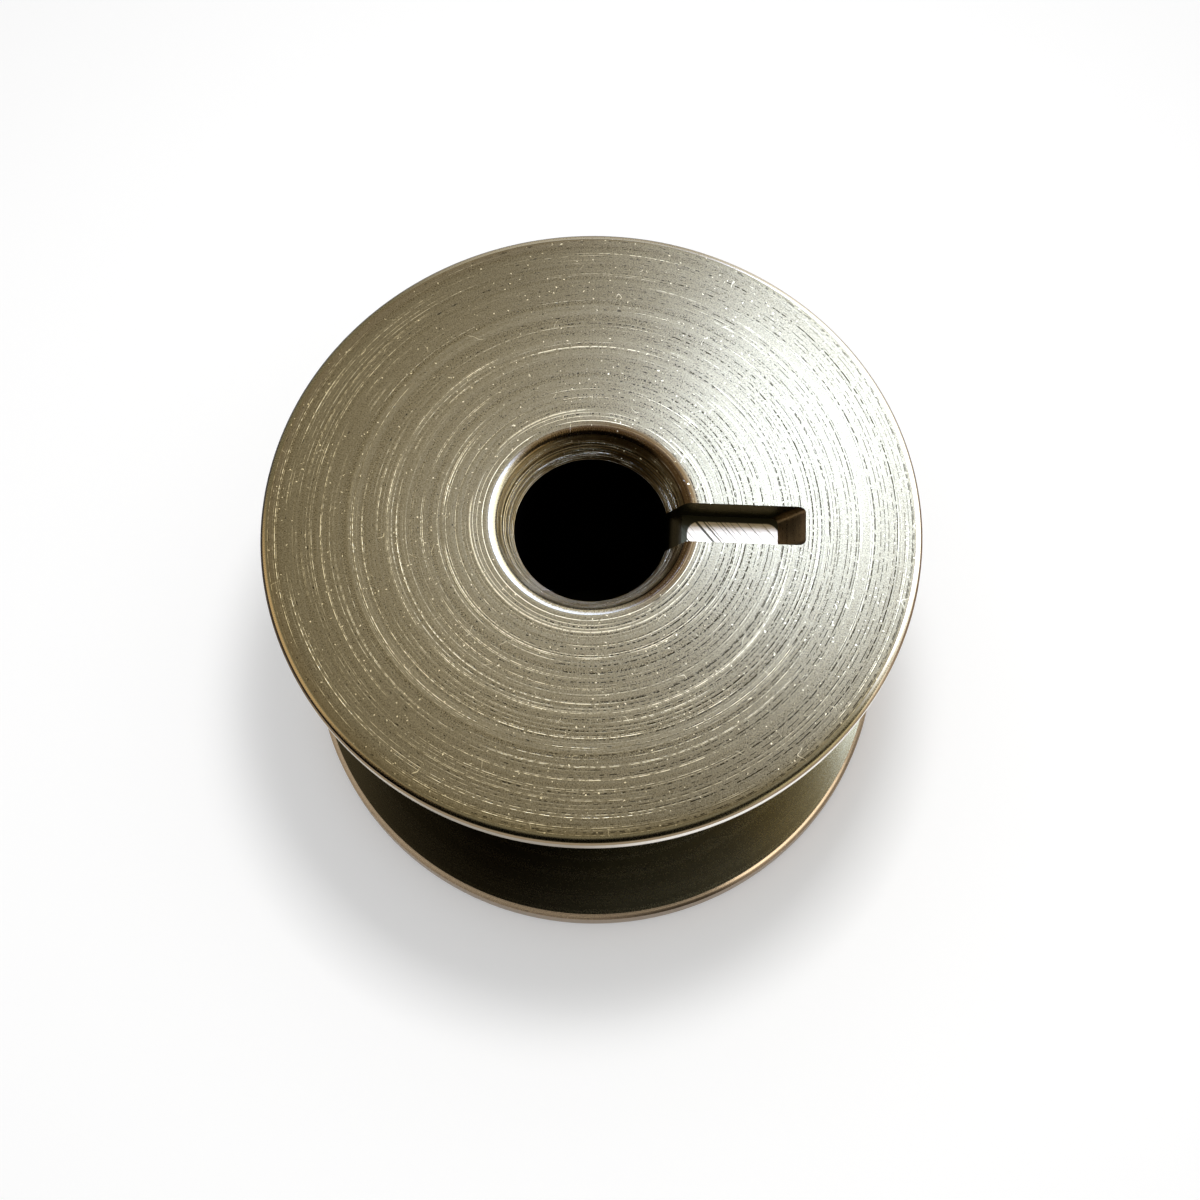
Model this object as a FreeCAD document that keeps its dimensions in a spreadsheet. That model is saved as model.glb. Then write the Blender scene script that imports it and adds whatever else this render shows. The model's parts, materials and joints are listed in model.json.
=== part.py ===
"""Heavy-duty sewing machine bobbin, turned in one piece from steel bar.

The bobbin stands on its lower flange. The origin is the centre of that flange's outer face, +Z runs up
the bore and the slot in the upper flange points along +X.
"""
import FreeCAD, Part
import Sketcher
import math
import os

NODE = "bobbin"
SHEET = "Dimensions"
TOLERANCE = 1e-4

# Driving dimensions in millimetres, each with what it measures
DIMENSIONS = (
    ("flange_diameter", 27.0, "outside of both flanges"),
    ("bobbin_height", 16.4, "outer face to outer face"),
    ("lower_flange", 1.35, "thickness of the flange that the bobbin stands on"),
    ("upper_flange", 0.95, "thickness of the flange with the slot"),
    ("core_diameter", 16.8, "barrel that the thread is wound on"),
    ("core_root_round", 0.4, "radius where the core meets a flange"),
    ("bore_diameter", 6.4, "running fit on the winder spindle"),
    ("mouth_diameter", 8.0, "countersink at the outer face"),
    ("mouth_depth", 1.15, "outer face to the sharp lip of the bore"),
    ("mouth_round", 0.4, "radius between outer face and countersink"),
    ("rim_round", 0.28, "radius on the outer edge of a flange"),
    ("rim_bevel", 0.22, "bevel on the inner edge of a flange, to spare the thread"),
    ("slot_width", 1.7, "wall to wall"),
    ("slot_depth", 1.3, "outer face to slot floor"),
    ("slot_past_core", 0.35, "how far the slot's outer end lies past the core's wall, at the face"),
    ("slot_end_run", 1.05, "how far the sloping end wall leans inwards"),
    ("slot_floor_round", 0.65, "radius where the slot floor rolls over into the bore"),
    ("slot_corner_round", 0.25, "radius where the side walls meet the end wall"),
)

# Sizes that follow from the driving ones: the core backs the slot's floor, so the slot ends by the core
FOLLOWING = (
    ("slot_reach", "=core_diameter / 2 + slot_past_core", "axis to the outer end of the slot, at the face"),
)

# Where the rollover of the slot floor starts: the bore wall at the slot's side walls
BORE_AT_SLOT_WALL = f"sqrt(({SHEET}.bore_diameter / 2)^2 - ({SHEET}.slot_width / 2)^2)"

SKETCH_NORMAL = FreeCAD.Vector(0, 0, 1)
ORIGIN = (-1, 1)
START = 1
END = 2
CENTRE = 3


def fill_sheet(document):
    """Write the driving and the following dimensions into a spreadsheet, one row and one alias each."""
    sheet = document.addObject("Spreadsheet::Sheet", SHEET)
    for row, (alias, value, meaning) in enumerate(DIMENSIONS + FOLLOWING, start=1):
        sheet.set(f"A{row}", meaning)
        sheet.set(f"B{row}", str(value))
        sheet.setAlias(f"B{row}", alias)
    document.recompute()
    return sheet


def section_sketch(body, name):
    """Add an empty sketch on the body's XZ plane: its X is the radius, its Y is the height."""
    plane = next(item for item in body.Origin.OriginFeatures if item.Role == "XZ_Plane")
    sketch = body.newObject("Sketcher::SketchObject", name)
    sketch.AttachmentSupport = [(plane, "")]
    sketch.MapMode = "FlatFace"
    return sketch


def point(across, up):
    """Return a sketch point."""
    return FreeCAD.Vector(across, up, 0)


def add_outline(sketch, corners):
    """Draw a closed chain of straight lines through the corners and join their ends.

    Line number k runs from corner k to corner k + 1.
    """
    following = corners[1:] + corners[:1]
    lines = [Part.LineSegment(point(*a), point(*b)) for a, b in zip(corners, following)]
    sketch.addGeometry(lines, False)
    for k in range(len(lines)):
        sketch.addConstraint(Sketcher.Constraint("Coincident", k, END, (k + 1) % len(lines), START))


def lay(sketch, direction, *lines):
    """Make lines horizontal or vertical."""
    for line in lines:
        sketch.addConstraint(Sketcher.Constraint(direction, line))


def align(sketch, direction, first, second):
    """Put two points, each a line and its end, on one horizontal or vertical."""
    sketch.addConstraint(Sketcher.Constraint(direction, *first, *second))


def dimension(sketch, kind, first, second, name, expression):
    """Set a distance from the first point to the second and bind it to the sheet."""
    index = sketch.addConstraint(Sketcher.Constraint(kind, *first, *second, 1.0))
    sketch.renameConstraint(index, name)
    sketch.setExpression(f"Constraints.{name}", expression)


def draw_half_section(body, size):
    """Draw the half section that is turned about the bore's axis.

    The chain starts at the lower mouth and runs out along the lower face, round both flanges and the core,
    back along the upper face, down the upper countersink, the bore and the lower countersink.
    """
    rim = size["flange_diameter"] / 2
    core = size["core_diameter"] / 2
    bore = size["bore_diameter"] / 2
    mouth = size["mouth_diameter"] / 2
    top = size["bobbin_height"]
    lower = size["lower_flange"]
    upper = top - size["upper_flange"]
    depth = size["mouth_depth"]
    sketch = section_sketch(body, "HalfSection")
    add_outline(sketch, [
        (mouth, 0), (rim, 0), (rim, lower), (core, lower), (core, upper),
        (rim, upper), (rim, top), (mouth, top), (bore, top - depth), (bore, depth),
    ])
    lower_face, lower_rim, lower_inner, core_wall, upper_inner = range(5)
    upper_rim, upper_face, upper_mouth, bore_wall, lower_mouth = range(5, 10)
    lay(sketch, "Horizontal", lower_face, lower_inner, upper_inner, upper_face)
    lay(sketch, "Vertical", lower_rim, core_wall, upper_rim, bore_wall)
    align(sketch, "Horizontal", ORIGIN, (lower_face, START))
    align(sketch, "Vertical", (lower_rim, END), (upper_rim, START))
    align(sketch, "Vertical", (lower_face, START), (upper_face, END))
    dimension(sketch, "DistanceX", ORIGIN, (lower_face, END), "RimRadius", f"{SHEET}.flange_diameter / 2")
    dimension(sketch, "DistanceX", ORIGIN, (core_wall, START), "CoreRadius", f"{SHEET}.core_diameter / 2")
    dimension(sketch, "DistanceX", ORIGIN, (bore_wall, START), "BoreRadius", f"{SHEET}.bore_diameter / 2")
    dimension(sketch, "DistanceX", ORIGIN, (lower_face, START), "MouthRadius", f"{SHEET}.mouth_diameter / 2")
    dimension(sketch, "DistanceY", ORIGIN, (upper_rim, END), "Height", f"{SHEET}.bobbin_height")
    dimension(sketch, "DistanceY", (lower_rim, START), (lower_rim, END), "LowerFlange", f"{SHEET}.lower_flange")
    dimension(sketch, "DistanceY", (upper_rim, START), (upper_rim, END), "UpperFlange", f"{SHEET}.upper_flange")
    dimension(sketch, "DistanceY", (upper_mouth, END), (upper_mouth, START), "UpperMouth", f"{SHEET}.mouth_depth")
    dimension(sketch, "DistanceY", (lower_mouth, END), (lower_mouth, START), "LowerMouth", f"{SHEET}.mouth_depth")
    return sketch


def turn_blank(body, sketch):
    """Turn the half section once round the bore's axis."""
    blank = body.newObject("PartDesign::Revolution", "TurnedBlank")
    blank.Profile = sketch
    blank.ReferenceAxis = (sketch, ["V_Axis"])
    blank.Angle = 360
    return blank


def ring_edges(feature, radius, heights):
    """Name the round edges of a feature that have this radius and lie at one of these heights."""
    names = []
    for number, edge in enumerate(feature.Shape.Edges, start=1):
        curve = edge.Curve
        if not isinstance(curve, Part.Circle) or abs(curve.Radius - radius) > TOLERANCE:
            continue
        if abs(curve.Axis.z) > 1 - TOLERANCE and any(abs(curve.Center.z - z) < TOLERANCE for z in heights):
            names.append(f"Edge{number}")
    return names


def break_edges(body, kind, name, base, edges, expression):
    """Add a fillet or a chamfer of a bound size to named edges of the last feature."""
    feature = body.newObject(kind, name)
    feature.Base = (base, edges)
    measure = "Radius" if kind.endswith("Fillet") else "Size"
    feature.setExpression(measure, expression)
    body.Document.recompute()
    return feature


def finish_turning(body, blank, size):
    """Round the rims, mouths and core roots and bevel the inner rims, as on the lathe."""
    rim = size["flange_diameter"] / 2
    core = size["core_diameter"] / 2
    mouth = size["mouth_diameter"] / 2
    top = size["bobbin_height"]
    faces = (0, top)
    inner_faces = (size["lower_flange"], top - size["upper_flange"])
    fillet = "PartDesign::Fillet"
    chamfer = "PartDesign::Chamfer"
    last = blank
    for kind, name, radius, heights, alias in (
        (fillet, "RimRound", rim, faces, "rim_round"),
        (chamfer, "RimBevel", rim, inner_faces, "rim_bevel"),
        (fillet, "MouthRound", mouth, faces, "mouth_round"),
        (fillet, "CoreRoot", core, inner_faces, "core_root_round"),
    ):
        edges = ring_edges(last, radius, heights)
        last = break_edges(body, kind, name, last, edges, f"{SHEET}.{alias}")
    return last


def draw_slot_section(body, size):
    """Draw the slot's long section: flat floor, rollover into the bore, end wall leaning outwards.

    The end wall's line passes through the upper face at the slot's reach and ends as far above the face as
    the floor lies below it, so the cut runs clear of the face.
    """
    top = size["bobbin_height"]
    depth = size["slot_depth"]
    roll = size["slot_floor_round"]
    reach = size["slot_reach"]
    run = size["slot_end_run"]
    wall = math.sqrt((size["bore_diameter"] / 2) ** 2 - (size["slot_width"] / 2) ** 2)
    floor = top - depth
    sketch = section_sketch(body, "SlotSection")
    sketch.addGeometry([
        Part.LineSegment(point(0, floor - roll), point(wall, floor - roll)),
        Part.ArcOfCircle(Part.Circle(point(wall + roll, floor - roll), SKETCH_NORMAL, roll), math.pi / 2, math.pi),
        Part.LineSegment(point(wall + roll, floor), point(reach - run, floor)),
        Part.LineSegment(point(reach - run, floor), point(reach + run, top + depth)),
        Part.LineSegment(point(reach + run, top + depth), point(0, top + depth)),
        Part.LineSegment(point(0, top + depth), point(0, floor - roll)),
    ], False)
    ledge, rollover, slot_floor, end_wall, above, axis_side = range(6)
    sketch.addConstraint(Sketcher.Constraint("Coincident", ledge, END, rollover, END))
    sketch.addConstraint(Sketcher.Constraint("Tangent", rollover, START, slot_floor, START))
    for first, second in ((slot_floor, end_wall), (end_wall, above), (above, axis_side), (axis_side, ledge)):
        sketch.addConstraint(Sketcher.Constraint("Coincident", first, END, second, START))
    lay(sketch, "Horizontal", ledge, slot_floor, above)
    lay(sketch, "Vertical", axis_side)
    align(sketch, "Vertical", ORIGIN, (axis_side, END))
    align(sketch, "Horizontal", (rollover, CENTRE), (rollover, END))
    dimension(sketch, "DistanceX", ORIGIN, (rollover, END), "BoreWall", BORE_AT_SLOT_WALL)
    dimension(sketch, "DistanceX", (rollover, END), (rollover, CENTRE), "Rollover", f"{SHEET}.slot_floor_round")
    dimension(sketch, "DistanceY", ORIGIN, (slot_floor, END), "Floor",
              f"{SHEET}.bobbin_height - {SHEET}.slot_depth")
    dimension(sketch, "DistanceX", ORIGIN, (end_wall, START), "FloorEnd",
              f"{SHEET}.slot_reach - {SHEET}.slot_end_run")
    dimension(sketch, "DistanceX", (end_wall, START), (end_wall, END), "WallRun", f"2 * {SHEET}.slot_end_run")
    dimension(sketch, "DistanceY", (end_wall, START), (end_wall, END), "WallRise", f"2 * {SHEET}.slot_depth")
    return sketch


def mill_slot(body, turned, size):
    """Cut the slot half its width to each side of its long section and round its end corners."""
    before = turned.Shape.Volume
    slot = body.newObject("PartDesign::Pocket", "Slot")
    slot.Profile = draw_slot_section(body, size)
    slot.Midplane = True
    slot.setExpression("Length", f"{SHEET}.slot_width")
    body.Document.recompute()
    if not slot.Shape.Volume < before:
        raise RuntimeError("the slot cut nothing")
    edges = end_corners(slot, size)
    return break_edges(body, "PartDesign::Fillet", "SlotCorners", slot, edges, f"{SHEET}.slot_corner_round")


def end_corners(feature, size):
    """Name the two edges where the slot's sloping end wall meets its side walls."""
    half_width = size["slot_width"] / 2
    half_run = size["slot_end_run"] / 2
    half_depth = size["slot_depth"] / 2
    middles = [
        Part.Vertex(size["slot_reach"] - half_run, side, size["bobbin_height"] - half_depth)
        for side in (-half_width, half_width)
    ]
    return [
        f"Edge{number}"
        for number, edge in enumerate(feature.Shape.Edges, start=1)
        if any(edge.distToShape(middle)[0] < TOLERANCE for middle in middles)
    ]


def check_document(document, body):
    """Stop if any object failed to compute or the bobbin isn't one valid solid."""
    failed = [item.Name for item in document.Objects if {"Invalid", "Error"} & set(item.State)]
    if failed:
        raise RuntimeError(f"failed objects: {failed}")
    shape = body.Shape
    if shape.isNull() or not shape.isValid() or len(shape.Solids) != 1:
        raise RuntimeError("the bobbin isn't one valid solid")


def main():
    """Build the bobbin, check it and write its solid."""
    document = FreeCAD.newDocument("SewingBobbin")
    sheet = fill_sheet(document)
    size = {alias: sheet.get(alias) for alias, _, _ in DIMENSIONS + FOLLOWING}
    body = document.addObject("PartDesign::Body", "Bobbin")
    body.Label = NODE
    blank = turn_blank(body, draw_half_section(body, size))
    document.recompute()
    turned = finish_turning(body, blank, size)
    body.Tip = mill_slot(body, turned, size)
    document.recompute()
    check_document(document, body)
    os.makedirs("parts", exist_ok=True)
    body.Shape.exportStep(f"parts/{body.Label}.step")
    print(f"{body.Label}: {body.Shape.Volume:.1f} cubic millimetres")


main()
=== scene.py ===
"""Looks of a heavy sewing machine bobbin, turned in one piece from steel bar.

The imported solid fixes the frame: origin in the middle of the lower face, +Z up the bore, slot along +X.
The bobbin is drawn again as one fine closed surface with the solid's sizes, and dressed as lathe-turned
steel. Lengths in the classes are millimetres, and the mesh is written in metres.
"""
from __future__ import annotations

import json
import logging
import math
from dataclasses import dataclass
from enum import Enum, IntEnum

import bmesh
import bpy
import numpy as np
from mathutils import Matrix, Vector

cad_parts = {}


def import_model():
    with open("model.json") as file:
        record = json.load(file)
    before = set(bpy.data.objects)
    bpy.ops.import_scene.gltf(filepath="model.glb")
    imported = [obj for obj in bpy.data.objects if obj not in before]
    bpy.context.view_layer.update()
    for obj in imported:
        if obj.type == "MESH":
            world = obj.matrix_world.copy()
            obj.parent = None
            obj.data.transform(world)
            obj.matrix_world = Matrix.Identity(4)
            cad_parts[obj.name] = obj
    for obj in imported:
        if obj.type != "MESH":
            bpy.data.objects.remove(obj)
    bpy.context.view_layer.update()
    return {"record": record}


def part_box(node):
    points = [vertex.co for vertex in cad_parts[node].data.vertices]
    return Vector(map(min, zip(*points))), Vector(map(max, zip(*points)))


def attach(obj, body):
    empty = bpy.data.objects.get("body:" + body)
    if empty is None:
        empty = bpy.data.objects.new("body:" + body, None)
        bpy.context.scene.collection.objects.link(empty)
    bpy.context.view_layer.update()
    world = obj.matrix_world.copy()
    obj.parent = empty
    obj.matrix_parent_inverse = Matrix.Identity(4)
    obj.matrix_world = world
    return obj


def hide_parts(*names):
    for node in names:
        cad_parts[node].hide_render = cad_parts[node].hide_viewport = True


Tree = bpy.types.NodeTree
Socket = bpy.types.NodeSocket
Triple = tuple[float, float, float]

LOG = logging.getLogger("bobbin")
MM = 0.001
NODE = "bobbin"
BODY = "root"
FULL_TURN = 2 * math.pi
WHITE = (1.0, 1.0, 1.0, 1.0)

# A Mix node's sockets go by number, because the names of its colour sockets repeat
MIX_SHARE = 0
MIX_FIRST = 6
MIX_SECOND = 7
MIX_RESULT = 2
SMOOTH = {"interpolation_type": "SMOOTHSTEP"}
PATCHY = {"Scale": 1.0, "Roughness": 0.6}


class Finish(IntEnum):
    """Which finish a face of the bobbin takes; the value is the material slot."""

    FACE = 0
    EDGE = 1
    RIM = 2
    BEVEL = 3
    MOUTH = 4
    BORE = 5
    WINDING = 6
    WALL = 7
    END = 8
    FLOOR = 9
    SKIRT = 10
    LIP = 11
    FOOT = 12
    ROLL = 13
    OXIDE = 14


class Side(Enum):
    """Directions round the axis, named as the camera sees them: the slot points right. ALL_ROUND is none."""

    AWAY_FROM_SLOT = (-1.0, 0.3, 0.0)
    TOWARDS_SLOT = (1.0, 0.35, 0.0)
    LEFT = (-0.94, -0.34, 0.0)
    LOW_LEFT = (-0.82, -0.57, 0.0)
    RIGHT = (0.9, -0.44, 0.0)
    LOW_RIGHT = (0.64, -0.77, 0.0)
    NEAR = (-0.17, -0.98, 0.0)
    NEAR_LEFT = (-0.2, -1.0, 0.0)
    NEAR_RIGHT = (0.25, -1.0, 0.0)
    FAR = (0.0, 1.0, 0.0)
    ALL_ROUND = (0.0, 0.0, 0.0)


def linear(hex_colour: str) -> tuple[float, float, float, float]:
    """Turn an sRGB hex colour into linear RGBA.

    Args:
        hex_colour: colour written as #rrggbb.

    Returns:
        The linear colour with full alpha.
    """
    parts = [int(hex_colour[k:k + 2], 16) / 255 for k in (1, 3, 5)]
    red, green, blue = (c / 12.92 if c <= 0.04045 else ((c + 0.055) / 1.055) ** 2.4 for c in parts)
    return red, green, blue, 1.0


def plug(tree: Tree, node: bpy.types.Node, inputs: dict) -> None:
    """Link or set inputs of a node.

    Args:
        tree: node tree of the node.
        node: the node.
        inputs: output sockets or values, by the input's name or number.
    """
    for key, value in inputs.items():
        if isinstance(value, Socket):
            tree.links.new(value, node.inputs[key])
        else:
            node.inputs[key].default_value = value


def add_node(
    tree: Tree, kind: str, inputs: dict | None = None, output: int | str = 0, **settings: object
) -> Socket:
    """Add one shader node, set its properties, and link or set its inputs.

    Args:
        tree: node tree that takes the node.
        kind: Blender's type name of the node, without the leading ShaderNode.
        inputs: output sockets or values, by the input's name or number.
        output: the output to hand back, by name or number.
        settings: properties of the node.

    Returns:
        The chosen output socket.
    """
    node = tree.nodes.new("ShaderNode" + kind)
    for name, value in settings.items():
        setattr(node, name, value)
    plug(tree, node, inputs or {})
    return node.outputs[output]


def new_material(name: str) -> bpy.types.Material:
    """Make a material with nodes.

    Args:
        name: name of the material.

    Returns:
        The material, with a plain Principled BSDF.
    """
    material = bpy.data.materials.new(name)
    material.use_nodes = True
    return material


def point_in_mm(tree: Tree) -> Socket:
    """Read the shaded point's Object coordinates in millimetres."""
    here = add_node(tree, "TexCoord", None, "Object")
    return add_node(tree, "VectorMath", {0: here, "Scale": 1 / MM}, operation="SCALE")


# Heights weigh more than radii along the profile, so that a cone of 45 degrees has rings too
HEIGHT_SHARE = 1.618
# Rings with a chance below the first value stay blank, and those above the second are full
RING_CHANCE = (0.05, 0.85)


@dataclass(frozen=True)
class LathePlace:
    """Where a shaded point lies as the lathe sees it, as sockets of one material.

    Point is the place in millimetres, around is the unit direction from the axis, radius is the distance from
    the axis, and along is the way along the profile: radius plus a multiple of the height.
    """

    tree: Tree
    point: Socket
    around: Socket
    radius: Socket
    along: Socket

    @classmethod
    def in_material(cls, tree: Tree) -> LathePlace:
        """Work out the place in a material.

        Args:
            tree: the material's nodes.

        Returns:
            The place.
        """
        point = point_in_mm(tree)
        flat = add_node(tree, "VectorMath", {0: point, 1: (1, 1, 0)}, operation="MULTIPLY")
        radius = add_node(tree, "VectorMath", {0: flat}, "Value", operation="LENGTH")
        around = add_node(tree, "VectorMath", {0: flat}, operation="NORMALIZE")
        height = add_node(tree, "SeparateXYZ", {0: point}, "Z")
        along = add_node(tree, "Math", {0: height, 1: HEIGHT_SHARE, 2: radius}, operation="MULTIPLY_ADD")
        return cls(tree, point, around, radius, along)

    def facing(self, side: Triple) -> Socket:
        """Work out how far the point lies towards a side: the dot product of the two directions."""
        return add_node(self.tree, "VectorMath", {0: self.around, 1: side}, "Value", operation="DOT_PRODUCT")

    def stretched(self, turns: float, width: float) -> Socket:
        """Stretch the place so that a noise cell is long round the axis and narrow across.

        Args:
            turns: noise cells in one radian of the turn.
            width: width of a noise cell across the grooves.

        Returns:
            The direction times turns, lifted by along over width.
        """
        ring = add_node(self.tree, "VectorMath", {0: self.around, "Scale": turns}, operation="SCALE")
        across = add_node(self.tree, "Math", {0: self.along, 1: width}, operation="DIVIDE")
        lift = add_node(self.tree, "CombineXYZ", {"Z": across})
        return add_node(self.tree, "VectorMath", {0: ring, 1: lift}, operation="ADD")

    def ring_lines(self, spacing: float, shift: float, width: float) -> Socket:
        """Draw thin rings at uneven distances, each with its own strength.

        Args:
            spacing: mean distance between two rings.
            shift: how far all rings are moved.
            width: width of a ring.

        Returns:
            Strength, 1 on the strongest rings.
        """
        moved = add_node(self.tree, "Math", {0: self.along, 1: shift}, operation="ADD")
        steps = add_node(self.tree, "Math", {0: moved, 1: spacing}, operation="DIVIDE")
        away = add_node(
            self.tree, "TexVoronoi", {"W": steps, "Scale": 1.0}, "Distance", voronoi_dimensions="1D"
        )
        reach = {"Value": away, "From Min": width / spacing, "From Max": 0.0}
        thin = add_node(self.tree, "MapRange", reach, **SMOOTH)
        chance = add_node(self.tree, "SeparateColor", {0: away.node.outputs["Color"]})
        blank, full = RING_CHANCE
        strength = add_node(self.tree, "MapRange", {"Value": chance, "From Min": blank, "From Max": full})
        return add_node(self.tree, "Math", {0: thin, 1: strength}, operation="MULTIPLY")


@dataclass(frozen=True)
class StainAndPaintedLight:
    """A tint that grows between two radii, fullest on one side of the bobbin: a few are oxide, most are
    painted light and shade.
    """

    colour: str
    start: float
    full: float
    side: Side
    side_start: float = -0.1
    side_full: float = 0.7
    amount: float = 1.0

    def share(self, spot: LathePlace) -> Socket:
        """Work out how much of the tint lies on a point.

        Args:
            spot: where the point lies.

        Returns:
            The tint's share, up to its amount.
        """
        between = {"Value": spot.radius, "From Min": self.start, "From Max": self.full}
        ring = add_node(spot.tree, "MapRange", between, **SMOOTH)
        part = add_node(spot.tree, "MapRange", {
            "Value": spot.facing(self.side.value), "From Min": self.side_start, "From Max": self.side_full,
            "To Max": self.amount,
        }, **SMOOTH)
        return add_node(spot.tree, "Math", {0: ring, 1: part}, operation="MULTIPLY")


@dataclass(frozen=True)
class Breaks:
    """How a noise breaks rings into pieces: they show above a threshold, and more of them on one side."""

    low: float
    high: float
    least: float = 0.0
    lean: Triple = (0.0, 0.0, 0.0)
    crowding: float = 1.0

    def share(self, spot: LathePlace, noise: Socket, crowd: Socket) -> Socket:
        """Work out how much of a ring shows at a point.

        Args:
            spot: where the point lies.
            noise: the noise that breaks the ring.
            crowd: what is added to the noise where rings crowd together.

        Returns:
            The share that shows.
        """
        bent = add_node(spot.tree, "Math", {0: noise, 1: spot.facing(self.lean)}, operation="ADD")
        fuller = add_node(spot.tree, "Math", {0: crowd, 1: self.crowding, 2: bent}, operation="MULTIPLY_ADD")
        return add_node(spot.tree, "MapRange", {
            "Value": fuller, "From Min": self.low, "From Max": self.high, "To Min": self.least,
        }, **SMOOTH)


RUNS = Breaks(0.45, 0.64, lean=(-0.05, -0.07, 0.0))
BEADS = Breaks(0.42, 0.58, least=0.15)
DOTS = Breaks(0.53, 0.64, lean=(0.12, -0.03, 0.0), crowding=0.2)
# Noise cells of a run and of a bead: cells in a radian, and width across
RUN_CELL = (1.7, 0.45)
BEAD_CELL = (58.0, 0.11)
# Radii between which the marks thin out from the mouth: their number, and their painted brightness
CROWD_RADII = (4.4, 6.6)
CROWD_LIFT = 0.1
GLINT_RADII = (4.3, 6.5)
# Radii between which painted light scales the metal's tone from its inner to its outer gain
PAINTED_LIGHT_RADII = (4.4, 13.0)
# A fine groove lies just inside a fine line, and the fine ones are fainter and narrower than the others
GROOVE_SHIFT = 0.055
FINE_SHARE = 0.55
FINE_WIDTH = 0.7
# Specks: how ragged they are, their reach in cells and their painted brightness
RAGGED_SCALE = 14.0
RAGGED_REACH = (0.14, 0.14, 0.14)
SPECK_EDGE = 0.36
SPECK_CORE = 0.10
SPECK_GLINT = 1.5
# Hair scratches run where a slow noise crosses its mean, and show where another one is high
HAIR_SCALE = 0.55
HAIR_MEAN = 0.5
HAIR_EDGE = 0.003
HAIR_CORE = 0.001
HAIR_SPOT_SCALE = 1.3
HAIR_SPOT = (0.70, 0.76)
# Where nearly all values of a noise lie, and those of the sum of two
TONE_LOW = 0.306
TONE_HIGH = 0.694
GLOSS_LOW = 0.6
GLOSS_HIGH = 1.4
# How far the roughness swings to either side
GLOSS_SPREAD = 0.05
# Relief beside the broad rings, as shares of the depth, and the radii of the worn edge
LINE_RISE = 0.25
GRAIN_RISE = 0.35
WORN_RADII = (12.8, 13.3)
WORN_SIDE = 0.8
# A quarter turn of the tangent makes the reflection fan out across rings
ACROSS_RINGS = 0.25


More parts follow.
